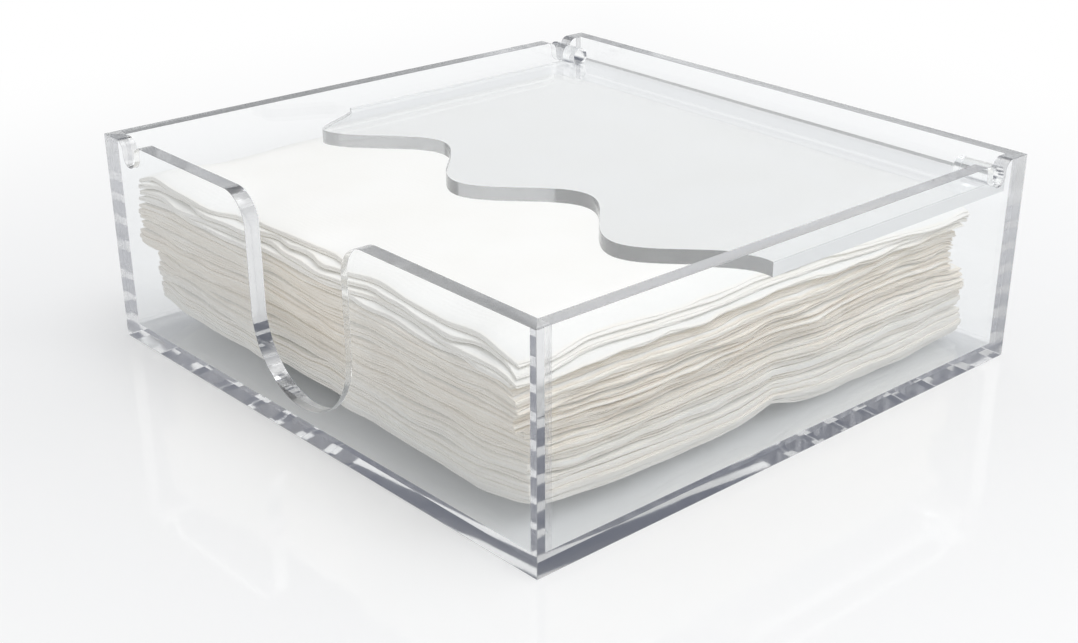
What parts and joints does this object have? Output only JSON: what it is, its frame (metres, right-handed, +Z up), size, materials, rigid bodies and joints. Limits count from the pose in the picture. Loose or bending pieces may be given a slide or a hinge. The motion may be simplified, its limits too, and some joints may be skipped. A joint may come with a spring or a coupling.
{
  "type": "napkin holder",
  "caption": "Square clear acrylic tray with a thumb notch, and a wavy-edged clear flap that swings on two rods and holds down a stack of folded paper napkins.",
  "frame": {"origin": "middle of the tray's underside, on the table", "axes": "+Z up, -Y towards the front wall with the thumb notch, +X to the right seen from the front"},
  "size_m": [0.184, 0.184, 0.062],
  "materials": {
    "clear_acrylic": "polished",
    "napkin_paper": "matte"
  },
  "bodies": {
    "tray": {"base_panel": "clear_acrylic", "front_wall": "clear_acrylic", "back_wall": "clear_acrylic", "left_wall": "clear_acrylic", "right_wall": "clear_acrylic", "napkin_01": "napkin_paper", "napkin_02": "napkin_paper", "napkin_03": "napkin_paper", "napkin_04": "napkin_paper", "napkin_05": "napkin_paper", "napkin_06": "napkin_paper", "napkin_07": "napkin_paper", "napkin_08": "napkin_paper", "napkin_09": "napkin_paper", "napkin_10": "napkin_paper", "napkin_11": "napkin_paper", "napkin_12": "napkin_paper", "napkin_13": "napkin_paper", "napkin_14": "napkin_paper", "napkin_15": "napkin_paper", "napkin_16": "napkin_paper", "napkin_17": "napkin_paper", "napkin_18": "napkin_paper", "napkin_19": "napkin_paper", "napkin_20": "napkin_paper", "napkin_21": "napkin_paper", "napkin_22": "napkin_paper", "napkin_23": "napkin_paper", "napkin_24": "napkin_paper"},
    "flap": {"flap": "clear_acrylic", "left_hinge_rod": "clear_acrylic", "right_hinge_rod": "clear_acrylic"}
  },
  "joints": [
    {"name": "flap_hinge", "type": "hinge", "parent": "tray", "child": "flap", "pos_m": [0, 0.079, 0.05805], "axis": [-1, 0, 0], "range_deg": [0, 168]}
  ]
}
